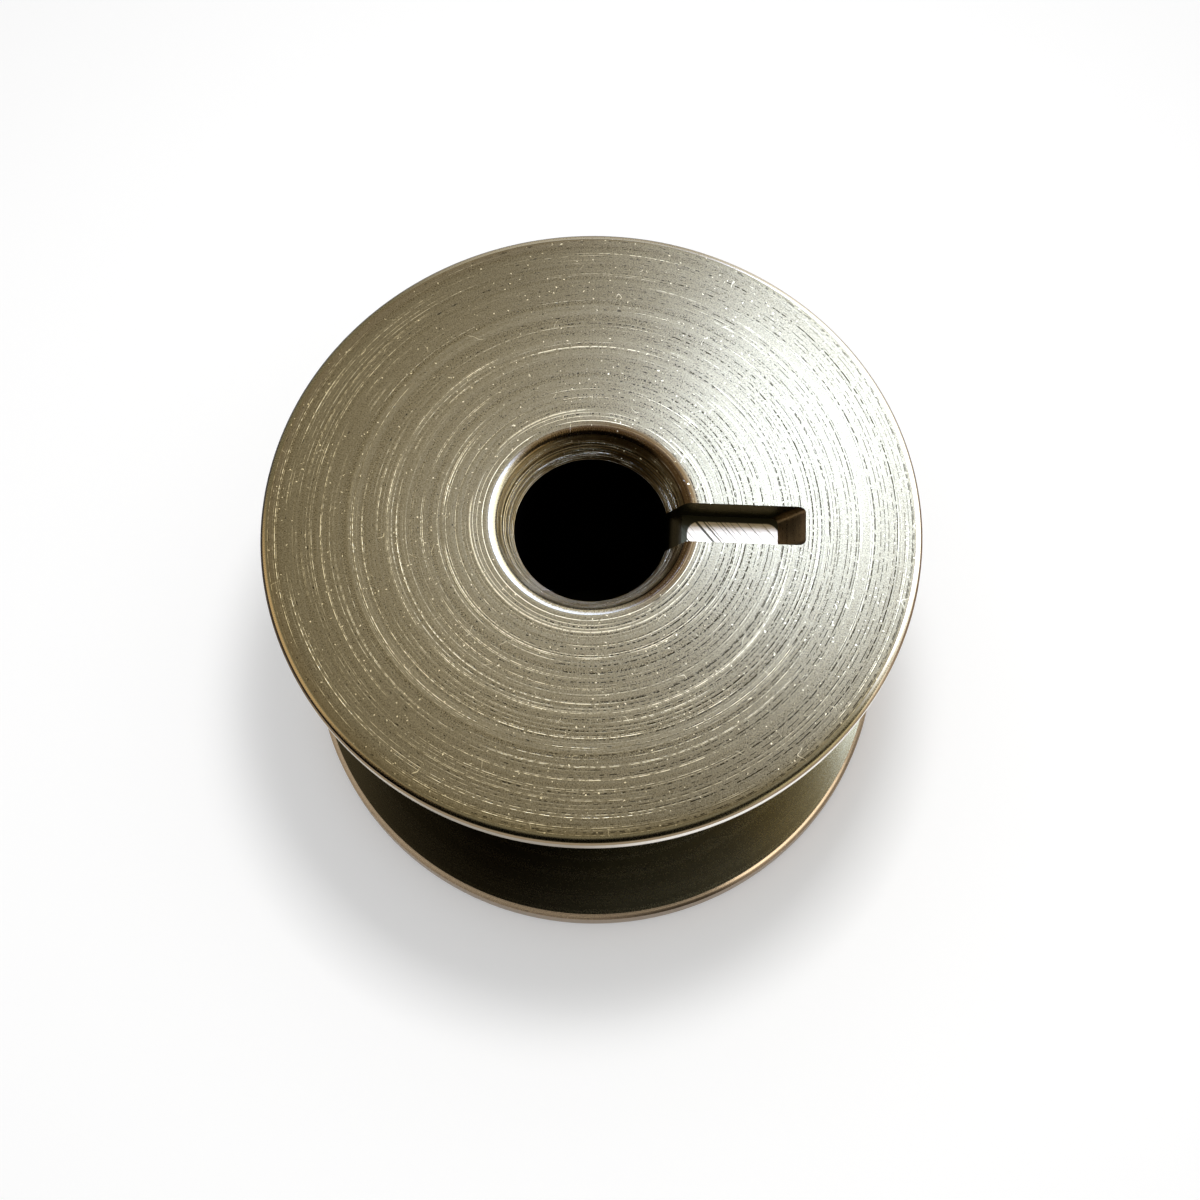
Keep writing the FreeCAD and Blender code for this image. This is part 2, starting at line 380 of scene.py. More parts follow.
@dataclass(frozen=True)
class TurnedSteel:
    """Bare carbon steel cut on a lathe: rings round the axis, grain, nicks, and side tints of oxide and
    painted light and shade.

    The tool leaves grooves that run round the axis, so the metal mirrors light across them in a fan, and the
    rings catch light one by one. Real feed marks are a few hundredths of a millimetre apart, too fine to
    show, so the rings are drawn as coarse as the scores that the eye picks out.
    """

    name: str
    shade: str
    body: str
    # Painted light: the glint colour paints highlights on lines and nicks, the groove colour paints shade in
    # the grooves
    painted_glint: str
    painted_groove_shade: str
    stains_and_painted_light: tuple[StainAndPaintedLight, ...] = ()
    roughness: float = 0.30
    anisotropy: float = 0.35
    ring: float = 0.5
    ring_detail: float = 6.0
    ring_roughness: float = 0.75
    line: float = 0.46
    hairline: float = 0.17
    groove_line: float = 0.38
    line_width: float = 0.020
    groove_width: float = 0.036
    grain: float = 0.055
    grain_share: float = 2.6
    nick: float = 0.10
    nick_share: float = 0.955
    hair: float = 0.32
    depth: float = 0.008
    mark_amount: float = 1.0
    groove_amount: float = 1.0
    mark_crowd: float = 1.0
    inner_painted_light: float = 1.0
    outer_painted_light: float = 1.0
    roll_off: float = 0.0

    def build(self) -> bpy.types.Material:
        """Make the material.

        Returns:
            The finished material.
        """
        material = new_material(self.name)
        tree = material.node_tree
        spot = LathePlace.in_material(tree)
        rings, lines, grooves, grain = self.tool_marks(spot)
        marks = add_node(tree, "Math", {0: lines, 1: self.nicks(spot)}, operation="MAXIMUM")
        plug(tree, tree.nodes["Principled BSDF"], {
            "Base Color": self.colour(spot, rings, marks, grooves, grain),
            "Roughness": self.gloss(spot, rings, grain),
            "Normal": self.relief(spot, rings, lines, grooves, grain),
            "Metallic": 1.0,
            "Anisotropic": self.anisotropy,
            "Anisotropic Rotation": ACROSS_RINGS,
        })
        return material

    def tool_marks(self, spot: LathePlace) -> tuple[Socket, Socket, Socket, Socket]:
        """Draw the tool's broad rings, its thin beaded bright lines, its dotted dark grooves, and the grain.

        Args:
            spot: where the point lies.

        Returns:
            Rings, lines, grooves and grain, each from 0 to 1.
        """
        tree = spot.tree
        broad = add_node(tree, "Math", {0: spot.along, 1: self.ring}, operation="DIVIDE")
        rings = add_node(tree, "TexNoise", {
            "W": broad, "Scale": 1.0, "Detail": self.ring_detail, "Roughness": self.ring_roughness,
        }, noise_dimensions="1D")
        run = add_node(tree, "TexNoise", PATCHY | {"Vector": spot.stretched(*RUN_CELL), "Detail": 2.0})
        bead = add_node(tree, "TexNoise", PATCHY | {"Vector": spot.stretched(*BEAD_CELL), "Detail": 1.0})
        crowd = add_node(tree, "MapRange", {
            "Value": spot.radius, "From Min": CROWD_RADII[0], "From Max": CROWD_RADII[1],
            "To Min": CROWD_LIFT * (self.mark_crowd - 1), "To Max": 0.0,
        })
        sets = []
        for spacing, shift, width, breaks in (
            (self.line, 0.0, self.line_width, ((RUNS, run), (BEADS, bead))),
            (self.groove_line, GROOVE_SHIFT, self.groove_width, ((DOTS, bead),)),
        ):
            strong = spot.ring_lines(spacing, shift, width)
            fine = spot.ring_lines(self.hairline, shift, FINE_WIDTH * width)
            drawn = add_node(tree, "Math", {0: fine, 1: FINE_SHARE, 2: strong}, operation="MULTIPLY_ADD")
            for kind, noise in breaks:
                shown = kind.share(spot, noise, crowd)
                drawn = add_node(tree, "Math", {0: drawn, 1: shown}, operation="MULTIPLY")
            sets.append(drawn)
        lines, grooves = sets
        grain = add_node(
            tree, "TexNoise", PATCHY | {"Vector": spot.point, "Scale": 1 / self.grain, "Detail": 2.0}
        )
        return rings, lines, grooves, grain

    def nicks(self, spot: LathePlace) -> Socket:
        """Scatter nicks as painted highlights: tiny specks and a few short hair scratches.

        Args:
            spot: where the point lies.

        Returns:
            Brightness of the nicks.
        """
        tree, point = spot.tree, spot.point
        ragged = add_node(
            tree, "TexNoise", PATCHY | {"Vector": point, "Scale": RAGGED_SCALE, "Detail": 1.0}, "Color"
        )
        bent = add_node(tree, "VectorMath", {0: ragged, 1: RAGGED_REACH, 2: point}, operation="MULTIPLY_ADD")
        away = add_node(tree, "TexVoronoi", {"Vector": bent, "Scale": 1 / self.nick}, "Distance")
        chance = add_node(tree, "SeparateColor", {0: away.node.outputs["Color"]})
        chosen = add_node(tree, "MapRange", {"Value": chance, "From Min": self.nick_share, "From Max": 1.0})
        near = add_node(tree, "MapRange", {
            "Value": away, "From Min": SPECK_EDGE, "From Max": SPECK_CORE, "To Max": SPECK_GLINT,
        }, **SMOOTH)
        specks = add_node(tree, "Math", {0: near, 1: chosen}, operation="MULTIPLY")
        wander = add_node(
            tree, "TexNoise", PATCHY | {"Vector": point, "Scale": HAIR_SCALE, "Detail": 1.5}
        )
        off = add_node(tree, "Math", {0: wander, 1: HAIR_MEAN}, operation="SUBTRACT")
        aside = add_node(tree, "Math", {0: off}, operation="ABSOLUTE")
        hair = add_node(tree, "MapRange", {
            "Value": aside, "From Min": HAIR_EDGE, "From Max": HAIR_CORE, "To Max": self.hair,
        }, **SMOOTH)
        where = add_node(tree, "TexNoise", {"Vector": point, "Scale": HAIR_SPOT_SCALE, "Detail": 0.0})
        short = add_node(
            tree, "MapRange", {"Value": where, "From Min": HAIR_SPOT[0], "From Max": HAIR_SPOT[1]}, **SMOOTH
        )
        hairs = add_node(tree, "Math", {0: hair, 1: short}, operation="MULTIPLY")
        return add_node(tree, "Math", {0: specks, 1: hairs}, operation="MAXIMUM")

    def colour(
        self, spot: LathePlace, rings: Socket, marks: Socket, grooves: Socket, grain: Socket
    ) -> Socket:
        """Mix colours: tone by ring and grain, painted light by radius, side tints, painted groove shade and
        painted glints.

        Args:
            spot: where the point lies.
            rings: the broad rings.
            marks: thin lines and nicks, painted as highlights.
            grooves: the dotted grooves, painted as shade.
            grain: the grain.

        Returns:
            The colour.
        """
        tree = spot.tree
        tone = add_node(tree, "Math", {0: grain, 1: self.grain_share, 2: rings}, operation="MULTIPLY_ADD")
        most = self.grain_share + 1
        level = add_node(
            tree, "MapRange", {"Value": tone, "From Min": TONE_LOW * most, "From Max": TONE_HIGH * most}
        )
        metal = add_node(tree, "Mix", {
            MIX_SHARE: level, MIX_FIRST: linear(self.shade), MIX_SECOND: linear(self.body),
        }, MIX_RESULT, data_type="RGBA")
        # Painted light: the tone is scaled by radius
        painted_light_gain = add_node(tree, "MapRange", {
            "Value": spot.radius, "From Min": PAINTED_LIGHT_RADII[0], "From Max": PAINTED_LIGHT_RADII[1],
            "To Min": self.inner_painted_light, "To Max": self.outer_painted_light,
        })
        crowd = add_node(tree, "MapRange", {
            "Value": spot.radius, "From Min": GLINT_RADII[0], "From Max": GLINT_RADII[1],
            "To Min": self.mark_crowd * self.mark_amount, "To Max": self.mark_amount,
        })
        colour = add_node(tree, "VectorMath", {0: metal, "Scale": painted_light_gain}, operation="SCALE")
        layers = [(side_tint.share(spot), 1.0, side_tint.colour) for side_tint in self.stains_and_painted_light]
        layers += [(grooves, self.groove_amount, self.painted_groove_shade), (marks, crowd, self.painted_glint)]
        for share, amount, hue in layers:
            part = add_node(tree, "Math", {0: share, 1: amount}, operation="MULTIPLY", use_clamp=True)
            colour = add_node(tree, "Mix", {
                MIX_SHARE: part, MIX_FIRST: colour, MIX_SECOND: linear(hue),
            }, MIX_RESULT, data_type="RGBA")
        return colour

    def gloss(self, spot: LathePlace, rings: Socket, grain: Socket) -> Socket:
        """Vary the roughness with the rings and the grain.

        Args:
            spot: where the point lies.
            rings: the broad rings.
            grain: the grain.

        Returns:
            The roughness.
        """
        mixed = add_node(spot.tree, "Math", {0: rings, 1: grain}, operation="ADD")
        return add_node(spot.tree, "MapRange", {
            "Value": mixed, "From Min": GLOSS_LOW, "From Max": GLOSS_HIGH,
            "To Min": self.roughness - GLOSS_SPREAD, "To Max": self.roughness + GLOSS_SPREAD,
        })

    def relief(
        self, spot: LathePlace, rings: Socket, lines: Socket, grooves: Socket, grain: Socket
    ) -> Socket:
        """Raise the rings, lines and grain, sink the grooves and let the rim's edge roll off, in real depth.

        Args:
            spot: where the point lies.
            rings: the broad rings.
            lines: the thin lines.
            grooves: the dotted grooves.
            grain: the grain.

        Returns:
            The normal.
        """
        tree = spot.tree
        outer = add_node(
            tree, "MapRange", {"Value": spot.radius, "From Min": WORN_RADII[0], "From Max": WORN_RADII[1]}
        )
        facing = spot.facing(Side.NEAR_LEFT.value)
        worn = add_node(tree, "MapRange", {"Value": facing, "From Min": 0.0, "From Max": WORN_SIDE}, **SMOOTH)
        square = add_node(tree, "Math", {0: outer, 1: outer}, operation="MULTIPLY")
        bend = add_node(tree, "Math", {0: square, 1: worn}, operation="MULTIPLY")
        sink = self.roll_off / self.depth
        height = rings
        for part, share in ((lines, LINE_RISE), (grooves, -LINE_RISE), (grain, GRAIN_RISE), (bend, -sink)):
            height = add_node(tree, "Math", {0: part, 1: share, 2: height}, operation="MULTIPLY_ADD")
        return add_node(tree, "Bump", {"Strength": 1.0, "Distance": self.depth * MM, "Height": height})


@dataclass(frozen=True)
class MilledSteel:
    """Fresh bright steel left by an end mill: slanting cutter lines, and painted shade along the walls and
    corners.

    The slot's floor shines pale and even, against dark walls; its pale colour is partly a painted highlight.
    The pale part is a box with rounded corners, so tall that height doesn't count, and painted shade lies
    outside it.
    Cutter lines thin out towards the slot's end. Real ones are finer, and these are as coarse as they need to
    show.
    """

    name: str
    pale: str
    scored: str
    # Colour of the painted shade along the walls and corners
    corner: str
    roughness: float = 0.42
    line: float = 0.11
    line_low: float = 0.34
    line_high: float = 0.46
    slant: float = 0.7
    thin_from: float = 5.0
    thin_to: float = 6.8
    thin_by: float = 0.05
    middle: Triple = (5.86, -0.3, 15.1)
    half: tuple[float, float] = (1.92, 0.92)
    tall: float = 50.0
    corner_round: float = 0.55
    corner_blur: float = 0.06
    depth: float = 0.004

    def build(self) -> bpy.types.Material:
        """Make the material.

        Returns:
            The finished material.
        """
        material = new_material(self.name)
        tree = material.node_tree
        point = point_in_mm(tree)
        lines = self.cutter_lines(tree, point)
        marked = add_node(tree, "Mix", {
            MIX_SHARE: lines, MIX_FIRST: linear(self.scored), MIX_SECOND: linear(self.pale),
        }, MIX_RESULT, data_type="RGBA")
        colour = add_node(tree, "Mix", {
            MIX_SHARE: self.painted_corner_shade(tree, point), MIX_FIRST: marked, MIX_SECOND: linear(self.corner),
        }, MIX_RESULT, data_type="RGBA")
        normal = add_node(tree, "Bump", {"Strength": 1.0, "Distance": self.depth * MM, "Height": lines})
        plug(tree, tree.nodes["Principled BSDF"], {
            "Base Color": colour, "Normal": normal, "Metallic": 1.0, "Roughness": self.roughness,
        })
        return material

    def cutter_lines(self, tree: Tree, point: Socket) -> Socket:
        """Draw the slanting lines of the cutter.

        Args:
            tree: the material's nodes.
            point: the point in millimetres.

        Returns:
            From 0 in a line to 1 beside it.
        """
        slope = (math.cos(self.slant) / self.line, math.sin(self.slant) / self.line, 0)
        across = add_node(tree, "VectorMath", {0: point, 1: slope}, "Value", operation="DOT_PRODUCT")
        noise = add_node(tree, "TexNoise", PATCHY | {"W": across, "Detail": 3.0}, noise_dimensions="1D")
        out = add_node(tree, "SeparateXYZ", {0: point}, "X")
        worn = add_node(tree, "MapRange", {
            "Value": out, "From Min": self.thin_from, "From Max": self.thin_to, "To Max": self.thin_by,
        })
        fewer = add_node(tree, "Math", {0: noise, 1: worn}, operation="ADD")
        between = {"Value": fewer, "From Min": self.line_low, "From Max": self.line_high}
        return add_node(tree, "MapRange", between, **SMOOTH)

    def painted_corner_shade(self, tree: Tree, point: Socket) -> Socket:
        """Paint shade on the floor outside a box with rounded corners.

        Args:
            tree: the material's nodes.
            point: the point in millimetres.

        Returns:
            From 0 in the box to 1 outside.
        """
        inner = (*(half - self.corner_round for half in self.half), self.tall)
        offset = add_node(tree, "VectorMath", {0: point, 1: self.middle}, operation="SUBTRACT")
        away = add_node(tree, "VectorMath", {0: offset}, operation="ABSOLUTE")
        over = add_node(tree, "VectorMath", {0: away, 1: inner}, operation="SUBTRACT")
        out = add_node(tree, "VectorMath", {0: over, 1: (0, 0, 0)}, operation="MAXIMUM")
        gap = add_node(tree, "VectorMath", {0: out}, "Value", operation="LENGTH")
        return add_node(tree, "MapRange", {
            "Value": gap, "From Min": self.corner_round - self.corner_blur, "From Max": self.corner_round,
        }, **SMOOTH)


@dataclass(frozen=True)
class OxideAndShadeLine:
    """A matt brown line where the rim's round ends: oxide, and painted shade that outlines the flange; palest
    in front, as painted light.
    """

    name: str
    dark: str
    pale: str
    patch: float = 0.5
    patch_share: float = 0.5
    pale_from: float = 0.1
    pale_to: float = 0.8
    roughness: float = 0.8

    def build(self) -> bpy.types.Material:
        """Make the material.

        Returns:
            The finished material.
        """
        material = new_material(self.name)
        tree = material.node_tree
        here = add_node(tree, "TexCoord", None, "Object")
        away = add_node(tree, "VectorMath", {0: here}, operation="NORMALIZE")
        near = {0: away, 1: Side.NEAR_RIGHT.value}
        side = add_node(tree, "VectorMath", near, "Value", operation="DOT_PRODUCT")
        blotch = add_node(tree, "TexNoise", {"Vector": here, "Scale": 1 / (self.patch * MM), "Detail": 2.0})
        mixed = add_node(tree, "Math", {0: blotch, 1: self.patch_share, 2: side}, operation="MULTIPLY_ADD")
        between = {"Value": mixed, "From Min": self.pale_from, "From Max": self.pale_to}
        colour = add_node(tree, "Mix", {
            MIX_SHARE: add_node(tree, "MapRange", between, **SMOOTH),
            MIX_FIRST: linear(self.dark), MIX_SECOND: linear(self.pale),
        }, MIX_RESULT, data_type="RGBA")
        plug(tree, tree.nodes["Principled BSDF"], {
            "Base Color": colour, "Roughness": self.roughness, "Specular IOR Level": 0.0,
        })
        return material


FINISHES = {
    # Faced on the lathe: light fans out across fine grooves, with thin bright rings and dotted dark ones
    Finish.FACE: TurnedSteel(
        "faced_steel", "#52462c", "#867753", "#f0d89c", "#1f180c",
        (
            # Painted shade: darker on the left, away from the lamp
            StainAndPaintedLight("#3a3020", 8.0, 13.0, Side.LEFT, -0.5, 0.0, 0.15),
            # Brown at the outer edge, fullest away from the slot: patina, and painted shade
            StainAndPaintedLight("#5e4a30", 12.5, 13.5, Side.AWAY_FROM_SLOT, amount=0.35),
            # Painted shade: brown by the mouth towards the slot
            StainAndPaintedLight("#4a3416", 4.62, 4.25, Side.TOWARDS_SLOT, -0.2, 0.7),
        ),
        # Inner and outer painted light: lighter towards the mouth
        inner_painted_light=1.16, outer_painted_light=0.99, mark_amount=1.7, mark_crowd=2.3, groove_amount=2.6, roll_off=0.05,
    ),
    # Rolled smooth: a thin painted highlight on the far side and by the slot, and a painted shade line on the
    # left
    Finish.EDGE: TurnedSteel(
        "rolled_edge_steel", "#5e5439", "#756a4c", "#c8b48c", "#4a3e2c",
        (
            # Painted highlight on the far side
            StainAndPaintedLight("#a2967a", 12.9, 13.0, Side.FAR, 0.7, 0.98),
            # Painted highlight by the slot
            StainAndPaintedLight("#e0d4b8", 12.9, 13.0, Side.TOWARDS_SLOT, 0.55, 0.9),
            StainAndPaintedLight("#6a4020", 13.40, 13.43, Side.TOWARDS_SLOT, 0.5, 0.9),
            # Painted reflection: a golden band low on the left
            StainAndPaintedLight("#b49664", 13.24, 13.32, Side.LOW_LEFT, 0.75, 0.97),
            # Painted shade: a dark outline on the left
            StainAndPaintedLight("#150e08", 13.36, 13.41, Side.AWAY_FROM_SLOT, -0.2, 0.3),
        ),
        anisotropy=0.2, mark_amount=0.3, groove_amount=0.3,
    ),
    # Turned and wiped bright: a pale silvery band below the edge
    Finish.RIM: TurnedSteel(
        "turned_rim_steel", "#a89a84", "#d6cab4", "#eee6d6", "#7a6a54",
        (
            # Painted shade in front
            StainAndPaintedLight("#857862", 13.0, 13.1, Side.NEAR, 0.9, 0.99, 0.8),
            # Painted reflection: near white low on the right
            StainAndPaintedLight("#fffaf2", 13.0, 13.1, Side.LOW_RIGHT, 0.75, 0.97),
        ),
        anisotropy=0.2, mark_amount=0.5, groove_amount=0.4,
    ),
    # Bevelled by one cut: a tan glint along the rim's inner edge
    Finish.BEVEL: TurnedSteel(
        "bevelled_steel", "#8a7860", "#ac967a", "#cabca2", "#4a4236",
        (
            # Painted shade on the bevel's outer half, all round
            StainAndPaintedLight("#4a3e30", 13.38, 13.46, Side.ALL_ROUND, -1.0, -0.5, 0.2),
            # Painted shade low on the right
            StainAndPaintedLight("#2e2418", 13.35, 13.42, Side.LOW_RIGHT, 0.75, 0.97, 0.85),
        ),
        roughness=0.24, anisotropy=0.0, mark_amount=0.5, groove_amount=0.5,
    ),
    # Countersunk with a coarse feed: steps of light and brown round the mouth
    Finish.MOUTH: TurnedSteel(
        "countersunk_steel", "#342814", "#bca26c", "#f8e8bc", "#1a130a",
        (
            # Painted shade: brown on the far side
            StainAndPaintedLight("#4a3820", 3.0, 3.1, Side.FAR, 0.35, 0.9, 0.6),
            # Painted shade: brown towards the slot
            StainAndPaintedLight("#3c2a12", 3.0, 3.1, Side.TOWARDS_SLOT, 0.0, 0.9, 0.75),
        ),
        ring=0.2, ring_detail=1.5, line=0.24, hairline=0.12, depth=0.05, mark_amount=1.6, mark_crowd=1.6,
        groove_amount=2.2, grain_share=0.5, hair=0.0,
    ),
    # Bored steel, coloured nearly black as painted shade: the bore looks black
    Finish.BORE: TurnedSteel("bore_painted_shade_steel", "#141210", "#1f1c17", "#3a362c", "#0c0b09"),
    # Turned smooth where the thread lies: an even dark mirror, olive at the sides from painted light and
    # shade
    Finish.WINDING: TurnedSteel(
        "smooth_turned_steel", "#6c6650", "#757058", "#8e8872", "#544c38",
        (
            # Painted shade on the left
            StainAndPaintedLight("#423a28", 8.0, 8.2, Side.LEFT, 0.1, 0.7),
            # Painted light on the right
            StainAndPaintedLight("#82744e", 8.0, 8.2, Side.RIGHT, 0.85, 0.97),
        ),
        roughness=0.26, anisotropy=0.2, depth=0.001, mark_amount=0.2, groove_amount=0.2,
    ),
    # Cut by the mill's side: dull, and dark as painted shade in the slot
    Finish.WALL: TurnedSteel(
        "milled_wall_steel", "#4a4836", "#585644", "#6a6854", "#2a2416",
        anisotropy=0.0, mark_amount=0.3, groove_amount=0.3,
    ),
    # Cut as the mill ran out: a soft brown slope
    Finish.END: TurnedSteel(
        "milled_end_steel", "#6e5a40", "#927b58", "#c8b284", "#4a3c28",
        anisotropy=0.0, mark_amount=0.5, groove_amount=0.5,
    ),
    # Cut by the mill's end: pale and even, with slanting dark lines and painted shade along the walls
    Finish.FLOOR: MilledSteel("milled_floor_steel", "#ccb488", "#4e4530", "#34301f"),
    # A tan band round the lower flange
    Finish.SKIRT: TurnedSteel(
        "tan_rim_steel", "#8c765a", "#a68e70", "#c4ae8e", "#4e4232",
        roughness=0.34, anisotropy=0.0, mark_amount=0.5, groove_amount=0.5,
    ),
    # Burnished by the spindle: a bright crescent round the mouth, with painted shade brown on the far side
    # and by the slot
    Finish.LIP: TurnedSteel(
        "burnished_lip_steel", "#a89c7c", "#bcb090", "#f4ead0", "#6a5a3e",
        (
            # Painted shade on the far side
            StainAndPaintedLight("#5c4828", 3.0, 3.1, Side.FAR, 0.3, 0.8),
            # Painted shade by the slot
            StainAndPaintedLight("#42301a", 3.0, 3.1, Side.TOWARDS_SLOT, -0.35, 0.4),
        ),
        roughness=0.27, anisotropy=0.0, depth=0.004, mark_amount=0.8,
    ),
    # A dull brown line along the foot
    Finish.FOOT: TurnedSteel(
        "brown_foot_steel", "#5e4e3e", "#72604c", "#8a7a66", "#2a221a",
        anisotropy=0.0, mark_amount=0.3, groove_amount=0.3,
    ),
    # Oxidised and matt, and painted shade: a thin brown outline that stays dark at any angle
    Finish.OXIDE: OxideAndShadeLine("oxide_and_shade_line", "#3a2616", "#a08c70"),
    # Rolled over into the bore: painted shade makes it nearly black
    Finish.ROLL: TurnedSteel(
        "milled_roll_steel", "#211c11", "#2b2517", "#3e3828", "#141008",
        anisotropy=0.0, mark_amount=0.3, groove_amount=0.3,
    ),
}


@dataclass(frozen=True)
class Station:
    """A corner of the turned profile, with the round on it and what follows it.

    Lengths are millimetres. Steps is the number of rows on the straight run to the next corner. The last rows
    of the round take the end finish, where there is one.
    """

    radius: float
    height: float
    finish: Finish
    steps: int = 1
    round: float = 0.0
    round_finish: Finish | None = None
    end_finish: Finish | None = None


# Rows on a round, and how many of them take the finish of its end
ROUND_STEPS = 8
END_STEPS = 3
# Share of a run that lies in the narrow row at each of its ends, for runs of enough rows
RUN_MARGIN = 0.03
RUN_LEAST = 4


def run_shares(steps: int) -> np.ndarray:
    """Share of the way along a straight run at each row, with a narrow row at both ends.

    Args:
        steps: rows on the run.

    Returns:
        Rising shares from 0 to 1.
    """
    if steps < RUN_LEAST:
        return np.linspace(0, 1, steps + 1)
    return np.concatenate(([0], np.linspace(RUN_MARGIN, 1 - RUN_MARGIN, steps - 1), [1]))


def rounded_corner(before: np.ndarray, corner: np.ndarray, after: np.ndarray, radius: float) -> np.ndarray:
    """Points of the arc that rounds a corner.

    The arc's centre lies on the corner's bisector, radius over the sine of the half angle away, and the arc
    starts and ends radius over the tangent of the half angle along the two sides.

    Args:
        before: corner before this one.
        corner: the corner that is rounded.
        after: corner after this one.
        radius: radius of the round.

    Returns:
        Array of points from the first side to the second.
    """
    back = (before - corner) / np.linalg.norm(before - corner)
    ahead = (after - corner) / np.linalg.norm(after - corner)
    half = math.acos(float(np.clip(back @ ahead, -1, 1))) / 2
    bisector = (back + ahead) / np.linalg.norm(back + ahead)
    centre = corner + bisector * radius / math.sin(half)
    first = corner + back * radius / math.tan(half) - centre
    last = corner + ahead * radius / math.tan(half) - centre
    sweep = math.pi - 2 * half
    share = np.linspace(0, 1, ROUND_STEPS + 1)[:, None]
    return centre + (np.sin((1 - share) * sweep) * first + np.sin(share * sweep) * last) / math.sin(sweep)


def turned_profile(stations: list[Station]) -> tuple[np.ndarray, np.ndarray]:
    """Lay rows along a turned profile, with straight runs and rounded corners.

    Args:
        stations: the profile's corners in order.

    Returns:
        Points (radius, height) of the rows, and the finish of the band after each row but the last.
    """
    corners = np.array([(s.radius, s.height) for s in stations])
    points = [corners[:1]]
    finishes = []
    for k in range(len(stations) - 1):
        here, following = stations[k], stations[k + 1]
        arc = corners[k + 1:k + 2]
        if following.round:
            arc = rounded_corner(corners[k], corners[k + 1], corners[k + 2], following.round)
        start = points[-1][-1]
        shares = run_shares(here.steps)[1:, None]
        points.append(start + shares * (arc[0] - start))
        finishes += [here.finish] * here.steps
        if following.round:
            points.append(arc[1:])
            ending = following.round_finish if following.end_finish is None else following.end_finish
            finishes += [following.round_finish] * (ROUND_STEPS - END_STEPS) + [ending] * END_STEPS
    return np.vstack(points), np.array(finishes)


def way_along(profile: np.ndarray) -> np.ndarray:
    """Length along a profile from its first point to each of its points."""
    return np.concatenate(([0], np.cumsum(np.linalg.norm(np.diff(profile, axis=0), axis=1))))


def on_rings(radius: np.ndarray | float, angle: np.ndarray, height: np.ndarray | float) -> np.ndarray:
    """Points of a grid from their distance to the axis, angle round it and height."""
    return np.stack(np.broadcast_arrays(radius * np.cos(angle), radius * np.sin(angle), height), -1)


def grid_quads(rows: int, columns: int) -> np.ndarray:
    """Corner numbers of the faces of a grid, row by row.

    Args:
        rows: rows of points.
        columns: points in a row.

    Returns:
        Four numbers for each face.
    """
    index = np.arange(rows * columns).reshape(rows, columns)
    corners = (index[:-1, :-1], index[1:, :-1], index[1:, 1:], index[:-1, 1:])
    return np.stack([c.ravel() for c in corners], 1)


def put_in_scene(name: str, data: bpy.types.ID) -> bpy.types.Object:
    """Make an object and link it to the scene.

    Args:
        name: name of the object.
        data: its mesh, camera or light.

    Returns:
        The object.
    """
    thing = bpy.data.objects.new(name, data)
    bpy.context.scene.collection.objects.link(thing)
    return thing


@dataclass
class Patch:
    """A grid of points with its place on the bake map and the finish of each of its bands."""

    points: np.ndarray
    map_u: np.ndarray
    map_v: np.ndarray
    finishes: np.ndarray

    def quads(self) -> np.ndarray:
        """Corner numbers of the grid's faces, row by row."""
        return grid_quads(*self.points.shape[:2])

    def corner_map(self) -> np.ndarray:
        """Place on the bake map of each corner of each face."""
        grid = np.stack(np.broadcast_arrays(self.map_u, self.map_v), -1).reshape(-1, 2)
        return grid[self.quads()].reshape(-1, 2)

    def face_finishes(self) -> np.ndarray:
        """Finish of each face: that of its band."""
        return np.repeat(self.finishes, self.points.shape[1] - 1)


# Layout of the bake map: the turned surface below, the slot's patches side by side above
MAP_MARGIN = 0.01
TURNED_WIDTH = 0.98
TURNED_HEIGHT = 0.88
CUT_FOOT = 0.91
CUT_WIDTH = 0.22
CUT_HEIGHT = 0.08
# Edges that turn by more than this stay sharp, and points closer than the weld become one
SHARP_ANGLE = math.radians(22)
WELD = 0.001 * MM


